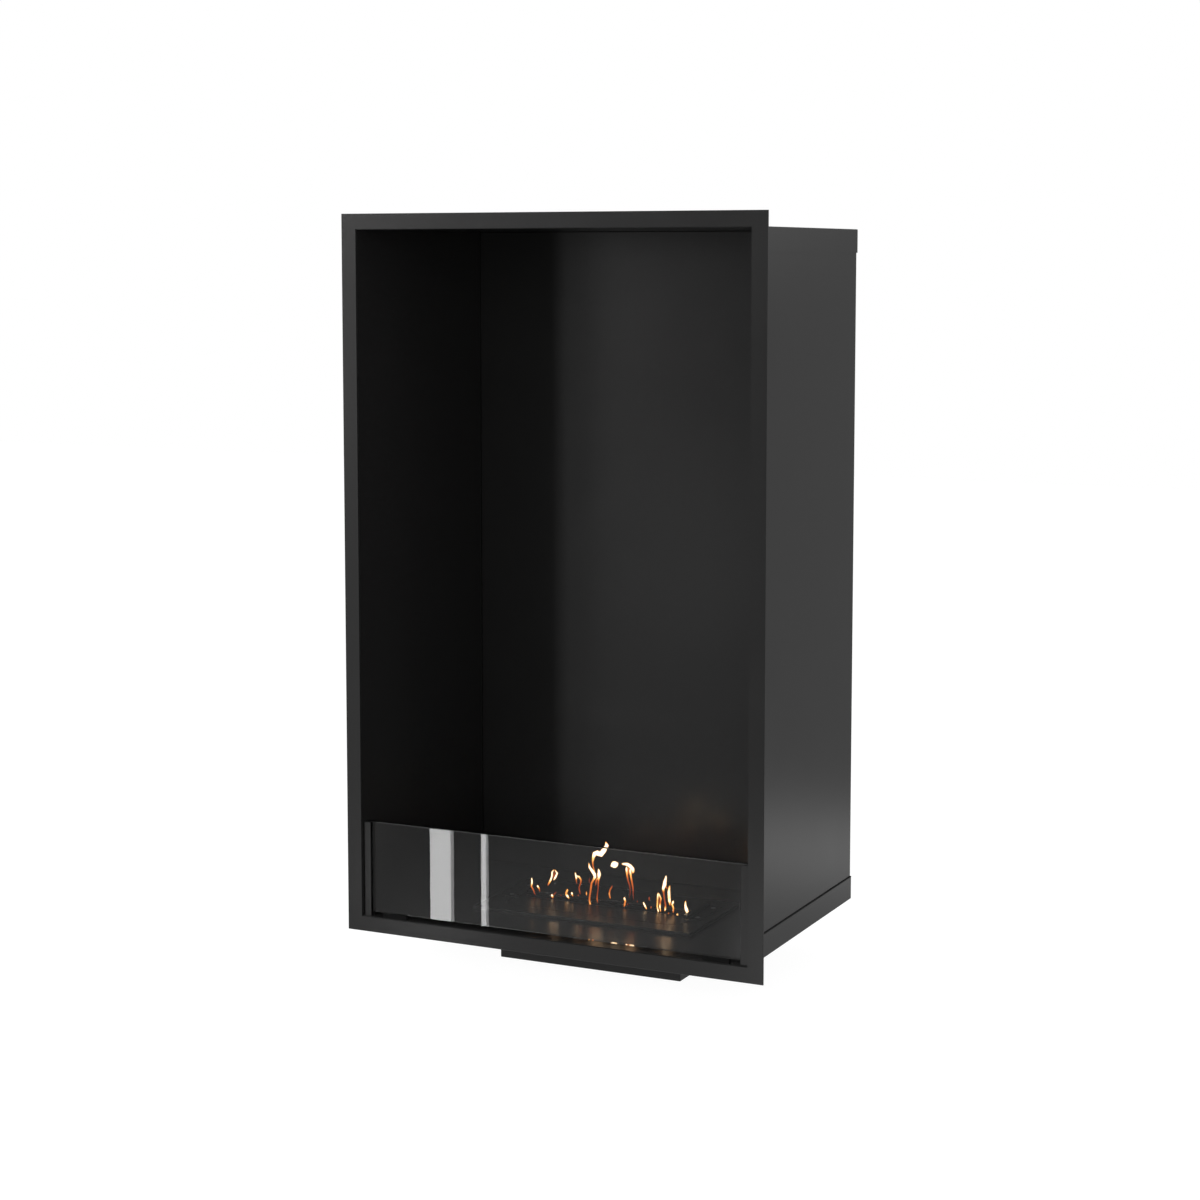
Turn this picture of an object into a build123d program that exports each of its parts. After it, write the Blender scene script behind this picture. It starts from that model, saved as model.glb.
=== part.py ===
from build123d import *
import os

# A built-in bioethanol fireplace. All sizes are in millimetres. +X is to the right of someone who
# faces the fire, the front faces -Y and +Z is up. The origin is below the middle of the object, at
# the level of its lowest face, the underside of the burner well.

# --- Casing: a cap and a tray whose turned lips lap over the side and rear panels
CASING_WIDTH = 470.0
CASING_HEIGHT = 768.0
OVERALL_DEPTH = 312.0
SHEET = 1.2
BEND_RADIUS = 1.0
CAP_LIP = 26.3
TRAY_LIP = 25.5

# --- Front frame: a flat ring of thicker sheet, welded to the casing's front edges
FRAME_OVERHANG = 16.0
FRAME_SHEET = 2.0
FRAME_REVEAL = 0.6
FRAME_EDGE_RADIUS = 0.4

# --- Double wall at the back
BACK_CAVITY = 24.4
REAR_PANEL_FLANGE = 12.0
INNER_BACK_FLANGE = 8.0
PANEL_CLEARANCE = 0.3
SPACER_WEB = 30.0
SPACER_FLANGE = 15.0
SPACER_OFFSET = 150.0
SPACER_END_GAP = 12.0
SPACER_BEND_RADIUS = 2.0
SPACER_RIVET_INSET = 130.0

# --- Keyholes that hang the casing on two wall screws
KEYHOLE_SPACING = 180.0
KEYHOLE_DROP = 110.0
KEYHOLE_HEAD_RADIUS = 6.0
KEYHOLE_NECK_RADIUS = 3.0
KEYHOLE_RISE = 11.0

# --- Glass screen and its two posts
POST_SETBACK = 4.5
POST_WIDTH = 8.8
POST_RISE = 106.3
GLASS_THICKNESS = 5.0
GLASS_SIDE_GAP = 2.6
GLASS_TOP_RISE = 107.3
GLASS_EDGE_CHAMFER = 0.5
GLASS_FRONT_PLAY = 0.9
GLASS_REAR_PLAY = 0.9
REST_PAD_THICKNESS = 3.8
REST_PAD_LENGTH = 30.0
REST_PAD_INSET = 20.0
REST_PAD_MARGIN = 0.4

# --- Burner well, the box that drops through the tray and hangs by its flange
WELL_WIDTH = 224.0
WELL_DEPTH = 96.0
WELL_DROP = 58.0
WELL_FLANGE = 12.0
WELL_FLANGE_CORNER = 4.0
WELL_SIDE_GAP = 0.5
BURNER_SETBACK = 151.0

# --- Burner insert, which lifts out of the well
TANK_SHEET = 1.0
TANK_SIDE_GAP = 2.8
TANK_BOTTOM_GAP = 2.3
TANK_CORNER = 14.0
TANK_BOTTOM_RADIUS = 6.0
TANK_RIM_LAP = 3.2
TRIM_BORDER = 22.0
DECK_LAP = 3.5
DECK_GAP = 0.8
SLOT_END_MARGIN = 4.0
SLOT_WIDTH = 15.0
SLOT_COLLAR_DROP = 4.0
WOOL_SIDE_GAP = 0.5
WOOL_BELOW_RIM = 7.0
RETAINER_SHEET = 0.8
RETAINER_SIDE_GAP = 0.5
RETAINER_HOLE_COUNT = 24
RETAINER_HOLE_LENGTH = 11.0
RETAINER_HOLE_WIDTH = 5.5

# --- Snuffer lid, its guides and the ear that a hook pulls it by
LID_SHEET = 1.0
LID_HEIGHT = 3.0
LID_LAP = 9.5
LID_END_LAP = 5.0
LID_CORNER = 3.0
LID_BEND_RADIUS = 0.8
LID_OPEN_GAP = 1.5
GUIDE_SHEET = 1.0
GUIDE_SIDE_PLAY = 0.5
GUIDE_TOP_PLAY = 0.4
GUIDE_LIP = 5.0
GUIDE_FOOT = 15.0
GUIDE_STOP_PLAY = 0.4
GUIDE_RIVET_INSET = 9.4
HOOK_EAR_WIDTH = 26.0
HOOK_EAR_LENGTH = 12.0
HOOK_EAR_CORNER = 5.0
HOOK_HOLE_RADIUS = 3.0

# --- Rivets and clearances
RIVET_RADIUS = 1.5
RIVET_HEAD_RADIUS = 3.0
RIVET_HEAD_HEIGHT = 0.9
HOLE_CLEARANCE = 0.05
WELL_RIVET_INSET = 28.0
REST_GAP = 0.3

# --- Places worked out from the sizes above
FRONT_Y = -OVERALL_DEPTH / 2
REAR_Y = OVERALL_DEPTH / 2
FRAME_BACK_Y = FRONT_Y + FRAME_SHEET
REAR_PANEL_Y = REAR_Y - SHEET
CAVITY_REAR_Y = REAR_PANEL_Y - SHEET
CAVITY_FRONT_Y = CAVITY_REAR_Y - BACK_CAVITY
CHAMBER_BACK_Y = CAVITY_FRONT_Y - SHEET

LIP_X = CASING_WIDTH / 2
SIDE_OUTER_X = LIP_X - SHEET
SIDE_INNER_X = SIDE_OUTER_X - SHEET
FRAME_X = LIP_X + FRAME_OVERHANG

TRAY_Z = WELL_DROP
FLOOR_Z = TRAY_Z + SHEET
CAP_Z = TRAY_Z + CASING_HEIGHT
CEILING_Z = CAP_Z - SHEET
FRAME_BOTTOM_Z = TRAY_Z - FRAME_OVERHANG
FRAME_TOP_Z = CAP_Z + FRAME_OVERHANG

POST_FRONT_Y = FRONT_Y + POST_SETBACK
GLASS_FRONT_Y = POST_FRONT_Y + SHEET + GLASS_FRONT_PLAY
GLASS_REAR_Y = GLASS_FRONT_Y + GLASS_THICKNESS
GLASS_X = SIDE_INNER_X - GLASS_SIDE_GAP
GLASS_BOTTOM_Z = FLOOR_Z + REST_PAD_THICKNESS + REST_GAP
GLASS_TOP_Z = FLOOR_Z + GLASS_TOP_RISE
POST_TOP_Z = FLOOR_Z + POST_RISE
POST_REAR_Y = GLASS_REAR_Y + GLASS_REAR_PLAY + SHEET

BURNER_Y = FRONT_Y + BURNER_SETBACK
WELL_INNER_X = WELL_WIDTH / 2 - SHEET
WELL_INNER_Y = WELL_DEPTH / 2 - SHEET
TANK_X = WELL_INNER_X - TANK_SIDE_GAP
TANK_Y = WELL_INNER_Y - TANK_SIDE_GAP
TANK_INNER_X = TANK_X - TANK_SHEET
TANK_INNER_Y = TANK_Y - TANK_SHEET
TANK_INNER_CORNER = TANK_CORNER - TANK_SHEET
TANK_BOTTOM_Z = SHEET + TANK_BOTTOM_GAP
FLANGE_TOP_Z = FLOOR_Z + SHEET
BURNER_REST_Z = FLANGE_TOP_Z + REST_GAP
RIM_TOP_Z = BURNER_REST_Z + TANK_SHEET
DECK_TOP_Z = RIM_TOP_Z + SHEET
DECK_X = TANK_INNER_X + DECK_LAP
DECK_Y = TANK_INNER_Y + DECK_LAP
DECK_CORNER = TANK_INNER_CORNER + DECK_LAP
WOOL_TOP_Z = RIM_TOP_Z - WOOL_BELOW_RIM
SLOT_LENGTH = 2 * (TANK_INNER_X - SLOT_END_MARGIN)

LID_DEPTH = SLOT_WIDTH + 2 * LID_LAP
LID_X = SLOT_LENGTH / 2 + LID_END_LAP
LID_TRAVEL = SLOT_WIDTH / 2 + LID_DEPTH / 2 + LID_OPEN_GAP
LID_OPEN_Y = BURNER_Y + LID_TRAVEL
LID_BOTTOM_Z = DECK_TOP_Z + REST_GAP
LID_TOP_Z = LID_BOTTOM_Z + LID_HEIGHT
GUIDE_WEB_X = LID_X + GUIDE_SIDE_PLAY
GUIDE_LIP_Z = LID_TOP_Z + GUIDE_TOP_PLAY
GUIDE_END = GUIDE_STOP_PLAY + GUIDE_SHEET

# Each side of a block: the axis it faces along, and whether it comes first or last there.
SIDES = {
    "left": (Axis.X, 0),
    "right": (Axis.X, -1),
    "front": (Axis.Y, 0),
    "rear": (Axis.Y, -1),
    "bottom": (Axis.Z, 0),
    "top": (Axis.Z, -1),
}


# --- Shared shapes
def block(x, y, z):
    """A block between pairs of limits."""
    limits = (x, y, z)
    middle = [(low + high) / 2 for low, high in limits]
    return Pos(*middle) * Box(*[high - low for low, high in limits])


def folded_pan(x, y, z, open_sides):
    """A pan folded from sheet: open on the named sides, with its outer bends rounded."""
    solid = block(x, y, z)
    rims = ShapeList()
    for side in open_sides:
        axis, place = SIDES[side]
        rims += solid.faces().sort_by(axis)[place].edges()
    solid = fillet(solid.edges() - rims, BEND_RADIUS)
    wall = {side: 0 if side in open_sides else SHEET for side in SIDES}
    hollow = block(
        (x[0] + wall["left"], x[1] - wall["right"]),
        (y[0] + wall["front"], y[1] - wall["rear"]),
        (z[0] + wall["bottom"], z[1] - wall["top"]),
    )
    return solid - hollow


def rounded_plate(half_x, half_y, corner, z, centre_y=BURNER_Y):
    """A flat plate with rounded corners, between two levels."""
    outline = RectangleRounded(2 * half_x, 2 * half_y, corner)
    return Pos(0, centre_y, z[0]) * extrude(outline, z[1] - z[0])


def peg(radius, z):
    """An upright round peg on the Z axis, between two levels."""
    return Pos(0, 0, z[0]) * extrude(Circle(radius), z[1] - z[0])


def rivet(grip):
    """A dome-head rivet that points up from the origin, its head below and its tail flush."""
    rise = RIVET_HEAD_HEIGHT
    with BuildSketch(Plane.XZ) as half:
        with BuildLine():
            Line((0, -rise), (0, grip))
            Line((0, grip), (RIVET_RADIUS, grip))
            Line((RIVET_RADIUS, grip), (RIVET_RADIUS, 0))
            Line((RIVET_RADIUS, 0), (RIVET_HEAD_RADIUS, 0))
            RadiusArc((RIVET_HEAD_RADIUS, 0), (0, -rise), (RIVET_HEAD_RADIUS**2 + rise**2) / (2 * rise))
        make_face()
    return revolve(half.sketch, Axis.Z)


def write(name, shape):
    """Writes one sub-part to its own file."""
    export_step(shape, os.path.join("parts", name + ".step"))


# --- Casing
def front_frame():
    """The flat ring round the fire chamber's mouth. It overhangs the casing on all four sides."""
    plate = block((-FRAME_X, FRAME_X), (FRONT_Y, FRAME_BACK_Y), (FRAME_BOTTOM_Z, FRAME_TOP_Z))
    plate = fillet(plate.faces().sort_by(Axis.Y)[0].edges(), FRAME_EDGE_RADIUS)
    mouth_x = SIDE_INNER_X + FRAME_REVEAL
    mouth_z = (FLOOR_Z - FRAME_REVEAL, CEILING_Z + FRAME_REVEAL)
    return plate - block((-mouth_x, mouth_x), (FRONT_Y, FRAME_BACK_Y), mouth_z)


def side_panel(hand):
    """A flat side panel that stands on the tray, inside the lips."""
    x = sorted((hand * SIDE_INNER_X, hand * SIDE_OUTER_X))
    return block(x, (FRAME_BACK_Y, REAR_PANEL_Y), (FLOOR_Z, CEILING_Z))


def top_cap():
    """The cap, with its lips turned down over the sides and the rear."""
    z = (CAP_Z - CAP_LIP, CAP_Z)
    return folded_pan((-LIP_X, LIP_X), (FRAME_BACK_Y, REAR_Y), z, ["front", "bottom"])


def well_rivet_places():
    """Where the rivets go round the well's flange: three in front, three behind, one at each end."""
    beside_x = WELL_WIDTH / 2 + WELL_FLANGE / 2
    beside_y = WELL_DEPTH / 2 + WELL_FLANGE / 2
    corner_x = WELL_WIDTH / 2 - WELL_RIVET_INSET
    rows = [(x, y) for y in (-beside_y, beside_y) for x in (-corner_x, 0, corner_x)]
    return [Pos(x, BURNER_Y + y) for x, y in rows + [(-beside_x, 0), (beside_x, 0)]]


def bottom_tray():
    """The tray, with its lips turned up, and a cut-out that the burner well drops through."""
    z = (TRAY_Z, TRAY_Z + TRAY_LIP)
    tray = folded_pan((-LIP_X, LIP_X), (FRAME_BACK_Y, REAR_Y), z, ["front", "top"])
    cutout_x = WELL_WIDTH / 2 + WELL_SIDE_GAP
    cutout_y = WELL_DEPTH / 2 + WELL_SIDE_GAP
    tray -= rounded_plate(cutout_x, cutout_y, BEND_RADIUS + WELL_SIDE_GAP, (TRAY_Z, FLOOR_Z))
    for place in well_rivet_places():
        tray -= place * peg(RIVET_RADIUS + HOLE_CLEARANCE, (TRAY_Z, FLOOR_Z))
    return tray


def burner_well():
    """The open box that hangs through the tray's cut-out, by a flange riveted to the floor."""
    half_x = WELL_WIDTH / 2
    half_y = WELL_DEPTH / 2
    y = (BURNER_Y - half_y, BURNER_Y + half_y)
    well = folded_pan((-half_x, half_x), y, (0, FLANGE_TOP_Z), ["top"])
    level = (FLOOR_Z, FLANGE_TOP_Z)
    flange = rounded_plate(half_x + WELL_FLANGE, half_y + WELL_FLANGE, WELL_FLANGE_CORNER, level)
    inner_y = (BURNER_Y - WELL_INNER_Y, BURNER_Y + WELL_INNER_Y)
    well += flange - block((-WELL_INNER_X, WELL_INNER_X), inner_y, level)
    for place in well_rivet_places():
        well -= place * peg(RIVET_RADIUS + HOLE_CLEARANCE, level)
    return well


def well_rivets():
    """The rivets that hold the well to the tray, heads on the flange and tails flush below."""
    over = Rotation(180, 0, 0)
    return [place * Pos(0, 0, FLANGE_TOP_Z) * over * rivet(2 * SHEET) for place in well_rivet_places()]


# --- Double wall at the back
def keyhole():
    """A keyhole's outline, its round head at the origin and its neck rising from it."""
    neck = Pos(0, KEYHOLE_RISE / 2) * Rectangle(2 * KEYHOLE_NECK_RADIUS, KEYHOLE_RISE)
    return Circle(KEYHOLE_HEAD_RADIUS) + neck + Pos(0, KEYHOLE_RISE) * Circle(KEYHOLE_NECK_RADIUS)


def spacer_span():
    """The levels of a spacer's two ends, each a little inside the rear panel's flanges."""
    clear = SHEET + SPACER_END_GAP
    return FLOOR_Z + clear, CEILING_Z - clear


def spacer_rivet_levels():
    """The levels of the rivets through the rear panel into one spacer, on its middle line."""
    bottom, top = spacer_span()
    return [bottom + SPACER_RIVET_INSET, (bottom + top) / 2, top - SPACER_RIVET_INSET]


def rear_panel():
    """The outer back, a pan with its flanges turned forwards between the side panels."""
    x = (-SIDE_INNER_X, SIDE_INNER_X)
    y = (CAVITY_REAR_Y - REAR_PANEL_FLANGE, REAR_PANEL_Y)
    panel = folded_pan(x, y, (FLOOR_Z, CEILING_Z), ["front"])
    into_wall = Plane(origin=(0, CAVITY_REAR_Y, 0), x_dir=(-1, 0, 0), z_dir=(0, 1, 0))
    for side in (-1, 1):
        hanger = into_wall * Pos(side * KEYHOLE_SPACING / 2, CAP_Z - KEYHOLE_DROP) * keyhole()
        panel -= extrude(hanger, SHEET)
        for z in spacer_rivet_levels():
            hole = Circle(RIVET_RADIUS + HOLE_CLEARANCE)
            panel -= extrude(into_wall * Pos(side * SPACER_OFFSET, z) * hole, SHEET)
    return panel


def inner_back_panel():
    """The back wall of the fire chamber, a pan with its flanges turned backwards."""
    half_x = SIDE_INNER_X - PANEL_CLEARANCE
    y = (CHAMBER_BACK_Y, CAVITY_FRONT_Y + INNER_BACK_FLANGE)
    z = (FLOOR_Z, CEILING_Z - PANEL_CLEARANCE)
    return folded_pan((-half_x, half_x), y, z, ["rear"])


def back_spacer(hand):
    """A hat-section upright that holds the two back walls apart."""
    start = -SPACER_WEB / 2 - SPACER_FLANGE
    hat = FilletPolyline(
        (start, 0),
        (-SPACER_WEB / 2, 0),
        (-SPACER_WEB / 2, BACK_CAVITY - SHEET),
        (SPACER_WEB / 2, BACK_CAVITY - SHEET),
        (SPACER_WEB / 2, 0),
        (-start, 0),
        radius=SPACER_BEND_RADIUS,
    )
    section = make_face(offset(hat, amount=SHEET, side=Side.LEFT, closed=True))
    bottom, top = spacer_span()
    upright = Pos(hand * SPACER_OFFSET, CAVITY_FRONT_Y, bottom) * extrude(section, top - bottom)
    for z in spacer_rivet_levels():
        across = Plane(origin=(hand * SPACER_OFFSET, CAVITY_REAR_Y, z), x_dir=(1, 0, 0), z_dir=(0, -1, 0))
        upright -= extrude(across * Circle(RIVET_RADIUS + HOLE_CLEARANCE), SHEET)
    return upright


def spacer_rivets():
    """The rivets that hold both spacers, heads outside and no prouder than the lips."""
    forwards = Rotation(90, 0, 0)
    rows = [(side * SPACER_OFFSET, z) for side in (-1, 1) for z in spacer_rivet_levels()]
    return [Pos(x, REAR_PANEL_Y, z) * forwards * rivet(2 * SHEET) for x, z in rows]


# --- Glass screen
def glass_post(hand):
    """An upright channel on the side wall, whose groove holds the glass between two flanges."""
    x = sorted((hand * SIDE_INNER_X, hand * (SIDE_INNER_X - POST_WIDTH)))
    inward = "left" if hand > 0 else "right"
    z = (FLOOR_Z, POST_TOP_Z)
    return folded_pan(x, (POST_FRONT_Y, POST_REAR_Y), z, [inward, "bottom", "top"])


def glass_pane():
    """The toughened glass, with its edges ground and polished."""
    pane = block((-GLASS_X, GLASS_X), (GLASS_FRONT_Y, GLASS_REAR_Y), (GLASS_BOTTOM_Z, GLASS_TOP_Z))
    return chamfer(pane.edges(), GLASS_EDGE_CHAMFER)


def glass_rest_pads():
    """Two silicone pads on the floor, which the glass stands on."""
    y = (GLASS_FRONT_Y + REST_PAD_MARGIN, GLASS_REAR_Y - REST_PAD_MARGIN)
    outer = GLASS_X - REST_PAD_INSET
    z = (FLOOR_Z, FLOOR_Z + REST_PAD_THICKNESS)
    spans = ((-outer, REST_PAD_LENGTH - outer), (outer - REST_PAD_LENGTH, outer))
    return [block(x, y, z) for x in spans]


# --- Burner insert
def burner_tank():
    """The deep-drawn fuel tank, with a rim that hangs it in the tray's cut-out."""
    tank = Pos(0, BURNER_Y) * Box(2 * TANK_X, 2 * TANK_Y, RIM_TOP_Z - TANK_BOTTOM_Z)
    tank = Pos(0, 0, (RIM_TOP_Z + TANK_BOTTOM_Z) / 2) * tank
    tank = fillet(tank.edges().filter_by(Axis.Z), TANK_CORNER)
    tank = fillet(tank.faces().sort_by(Axis.Z)[0].edges(), TANK_BOTTOM_RADIUS)
    tank = offset(tank, amount=-TANK_SHEET, openings=tank.faces().sort_by(Axis.Z)[-1])
    level = (BURNER_REST_Z, RIM_TOP_Z)
    rim_x = WELL_INNER_X + TANK_RIM_LAP
    rim_y = WELL_INNER_Y + TANK_RIM_LAP
    rim = rounded_plate(rim_x, rim_y, TANK_CORNER + rim_x - TANK_X, level)
    mouth = rounded_plate(TANK_INNER_X, TANK_INNER_Y, TANK_INNER_CORNER, level)
    return tank + (rim - mouth)


def burner_trim_plate():
    """The shallow folded plate round the deck, which hides the tank's rim, flange and rivets."""
    half_x = WELL_WIDTH / 2 + TRIM_BORDER
    half_y = WELL_DEPTH / 2 + TRIM_BORDER
    y = (BURNER_Y - half_y, BURNER_Y + half_y)
    plate = folded_pan((-half_x, half_x), y, (FLOOR_Z + REST_GAP, DECK_TOP_Z), ["bottom"])
    level = (RIM_TOP_Z, DECK_TOP_Z)
    plate -= rounded_plate(DECK_X + DECK_GAP, DECK_Y + DECK_GAP, DECK_CORNER + DECK_GAP, level)
    for place in guide_rivet_places():
        plate -= place * peg(RIVET_RADIUS + HOLE_CLEARANCE, level)
    return plate


def burner_deck():
    """The plate that lies on the tank's rim, with the flame slot and its turned-down collar."""
    deck = rounded_plate(DECK_X, DECK_Y, DECK_CORNER, (RIM_TOP_Z, DECK_TOP_Z))
    outer = SlotOverall(SLOT_LENGTH + 2 * TANK_SHEET, SLOT_WIDTH + 2 * TANK_SHEET)
    collar_z = DECK_TOP_Z - SLOT_COLLAR_DROP
    deck += Pos(0, BURNER_Y, collar_z) * extrude(outer, RIM_TOP_Z - collar_z)
    slot = SlotOverall(SLOT_LENGTH, SLOT_WIDTH)
    return deck - Pos(0, BURNER_Y, collar_z) * extrude(slot, DECK_TOP_Z - collar_z)


def ceramic_wool():
    """The block of ceramic wool that soaks up the fuel and fills the tank below the retainer."""
    gap = WOOL_SIDE_GAP
    z = (TANK_BOTTOM_Z + TANK_SHEET, WOOL_TOP_Z)
    corner = TANK_INNER_CORNER - gap
    wool = rounded_plate(TANK_INNER_X - gap, TANK_INNER_Y - gap, corner, z)
    return fillet(wool.faces().sort_by(Axis.Z)[0].edges(), TANK_BOTTOM_RADIUS)


def wick_retainer():
    """The perforated plate that holds the wool down, with its holes in line under the slot."""
    level = (WOOL_TOP_Z, WOOL_TOP_Z + RETAINER_SHEET)
    half_x = TANK_INNER_X - RETAINER_SIDE_GAP
    half_y = TANK_INNER_Y - RETAINER_SIDE_GAP
    plate = rounded_plate(half_x, half_y, TANK_INNER_CORNER - RETAINER_SIDE_GAP, level)
    pitch = SLOT_LENGTH / RETAINER_HOLE_COUNT
    row = GridLocations(pitch, 0, RETAINER_HOLE_COUNT, 1)
    holes = Sketch() + [at * Rectangle(RETAINER_HOLE_WIDTH, RETAINER_HOLE_LENGTH) for at in row]
    return plate - Pos(0, BURNER_Y, WOOL_TOP_Z) * extrude(holes, RETAINER_SHEET)


# --- Snuffer lid
def guide_span():
    """How far the guides run from front to back: the lid's travel and a stop at each end."""
    front = BURNER_Y - LID_DEPTH / 2 - GUIDE_END
    rear = LID_OPEN_Y + LID_DEPTH / 2 + GUIDE_END
    return front, rear


def guide_rivet_places():
    """Where the rivets go through the guides' feet, two in each."""
    front, rear = guide_span()
    x = GUIDE_WEB_X + GUIDE_SHEET + (GUIDE_FOOT - GUIDE_SHEET) / 2
    ends = (front + GUIDE_RIVET_INSET, rear - GUIDE_RIVET_INSET)
    return [Pos(side * x, y) for side in (-1, 1) for y in ends]


def lid_guide(hand):
    """A Z-section rail: a foot on the plates, a web beside the lid, a lip over it, and two stops."""
    front, rear = guide_span()
    lip_top = GUIDE_LIP_Z + GUIDE_SHEET
    web = (GUIDE_WEB_X, GUIDE_WEB_X + GUIDE_SHEET)
    foot = (GUIDE_WEB_X, GUIDE_WEB_X + GUIDE_FOOT)
    lip = (GUIDE_WEB_X - GUIDE_LIP, GUIDE_WEB_X + GUIDE_SHEET)
    profile = [
        (foot[1], DECK_TOP_Z),
        (foot[1], DECK_TOP_Z + GUIDE_SHEET),
        (web[1], DECK_TOP_Z + GUIDE_SHEET),
        (web[1], lip_top),
        (lip[0], lip_top),
        (lip[0], GUIDE_LIP_Z),
        (web[0], GUIDE_LIP_Z),
        (web[0], DECK_TOP_Z),
    ]
    section = make_face(Polyline(*[(hand * x, z) for x, z in profile], close=True))
    across = Plane(origin=(0, front, 0), x_dir=(1, 0, 0), z_dir=(0, -1, 0))
    rail = extrude(across * section, front - rear)
    stop_x = sorted((hand * lip[0], hand * web[0]))
    stop_z = (LID_BOTTOM_Z, GUIDE_LIP_Z)
    rail += block(stop_x, (front, front + GUIDE_SHEET), stop_z)
    rail += block(stop_x, (rear - GUIDE_SHEET, rear), stop_z)
    for place in guide_rivet_places():
        rail -= place * peg(RIVET_RADIUS + HOLE_CLEARANCE, (DECK_TOP_Z, DECK_TOP_Z + GUIDE_SHEET))
    return rail


def guide_rivets():
    """The rivets that hold the guides to the trim plate, heads on top and tails flush below."""
    over = Rotation(180, 0, 0)
    head_z = DECK_TOP_Z + GUIDE_SHEET
    return [place * Pos(0, 0, head_z) * over * rivet(GUIDE_SHEET + SHEET) for place in guide_rivet_places()]


def snuffer_lid():
    """The lid, an upturned shallow pan, open behind the slot as the fire burns."""
    y = (LID_OPEN_Y - LID_DEPTH / 2, LID_OPEN_Y + LID_DEPTH / 2)
    lid = block((-LID_X, LID_X), y, (LID_BOTTOM_Z, LID_TOP_Z))
    lid = fillet(lid.edges().filter_by(Axis.Z), LID_CORNER)
    lid = fillet(lid.faces().sort_by(Axis.Z)[-1].edges(), LID_BEND_RADIUS)
    half_x = LID_X - LID_SHEET
    half_y = LID_DEPTH / 2 - LID_SHEET
    ceiling = LID_TOP_Z - LID_SHEET
    lid -= rounded_plate(half_x, half_y, LID_CORNER - LID_SHEET, (LID_BOTTOM_Z, ceiling), LID_OPEN_Y)
    return lid + hook_ear((ceiling, LID_TOP_Z))


def hook_ear(z):
    """The flat ear behind the lid, with the hole that a hook pulls and pushes it by."""
    root_y = LID_OPEN_Y + LID_DEPTH / 2 - LID_BEND_RADIUS
    tip_y = LID_OPEN_Y + LID_DEPTH / 2 + HOOK_EAR_LENGTH
    ear = block((-HOOK_EAR_WIDTH / 2, HOOK_EAR_WIDTH / 2), (root_y, tip_y), z)
    ear = fillet(ear.edges().filter_by(Axis.Z).group_by(Axis.Y)[-1], HOOK_EAR_CORNER)
    return ear - Pos(0, tip_y - HOOK_EAR_LENGTH / 2) * peg(HOOK_HOLE_RADIUS, z)


# --- Every sub-part, by the name of its file
PARTS = {
    "front_frame": front_frame(),
    "left_side_panel": side_panel(-1),
    "right_side_panel": side_panel(1),
    "top_cap": top_cap(),
    "bottom_tray": bottom_tray(),
    "rear_panel": rear_panel(),
    "inner_back_panel": inner_back_panel(),
    "left_back_spacer": back_spacer(-1),
    "right_back_spacer": back_spacer(1),
    "spacer_rivets": Compound(spacer_rivets()),
    "left_glass_post": glass_post(-1),
    "right_glass_post": glass_post(1),
    "glass_rest_pads": Compound(glass_rest_pads()),
    "glass_pane": glass_pane(),
    "burner_well": burner_well(),
    "well_rivets": Compound(well_rivets()),
    "burner_tank": burner_tank(),
    "burner_trim_plate": burner_trim_plate(),
    "burner_deck": burner_deck(),
    "ceramic_wool": ceramic_wool(),
    "wick_retainer": wick_retainer(),
    "left_lid_guide": lid_guide(-1),
    "right_lid_guide": lid_guide(1),
    "guide_rivets": Compound(guide_rivets()),
    "snuffer_lid": snuffer_lid(),
}

os.makedirs("parts", exist_ok=True)
for name, shape in PARTS.items():
    write(name, shape)
print("lid travel", LID_TRAVEL, "burner rests at", round(BURNER_REST_Z, 3), "deck top", round(DECK_TOP_Z, 3))
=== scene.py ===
# %% [markdown]
# # A bioethanol fireplace in satin black sheet steel
#
# The fireplace is a tall steel box with a flat frame round its mouth, a low glass screen, and a burner in
# its floor with a row of small flames. The steel parts are already there, at their real size, as the
# fixed frame. This script gives them their finishes, adds the flames and a black strip of painted shade
# above the tray's lip, lights the lot as a small studio would, and sets up the camera.

# %% Load the imported model
import math

import bmesh
import bpy
from mathutils import Matrix, Vector


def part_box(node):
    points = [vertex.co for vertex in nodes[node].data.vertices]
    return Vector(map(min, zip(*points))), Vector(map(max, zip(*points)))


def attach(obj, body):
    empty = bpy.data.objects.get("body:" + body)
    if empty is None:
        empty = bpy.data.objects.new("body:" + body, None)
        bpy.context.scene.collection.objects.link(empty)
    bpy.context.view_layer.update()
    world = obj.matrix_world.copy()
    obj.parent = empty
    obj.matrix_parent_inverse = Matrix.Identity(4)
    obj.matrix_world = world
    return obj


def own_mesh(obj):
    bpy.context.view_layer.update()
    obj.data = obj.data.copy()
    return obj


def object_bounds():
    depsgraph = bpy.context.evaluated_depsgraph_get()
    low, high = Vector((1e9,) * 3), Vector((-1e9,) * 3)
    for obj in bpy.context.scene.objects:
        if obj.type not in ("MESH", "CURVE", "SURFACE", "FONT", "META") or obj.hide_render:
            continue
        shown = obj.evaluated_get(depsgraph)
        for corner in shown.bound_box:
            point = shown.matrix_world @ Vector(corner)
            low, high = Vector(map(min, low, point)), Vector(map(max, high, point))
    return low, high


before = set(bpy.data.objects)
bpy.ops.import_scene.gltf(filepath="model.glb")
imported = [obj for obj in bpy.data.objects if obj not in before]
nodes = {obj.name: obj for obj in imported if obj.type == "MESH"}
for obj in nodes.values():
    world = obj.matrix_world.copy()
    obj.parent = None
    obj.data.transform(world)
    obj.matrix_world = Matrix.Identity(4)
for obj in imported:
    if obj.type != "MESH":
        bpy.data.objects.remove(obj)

CAD_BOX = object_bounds()
scene = bpy.context.scene
print("steel, glass and burner pieces:", len(nodes))

# %% [markdown]
# ## Sizes that the whole script shares
#
# Everything is in metres. A millimetre is written as `MM`, so that a thickness reads as it would on a
# workshop drawing.

# %% Shared sizes
MM = 0.001

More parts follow.
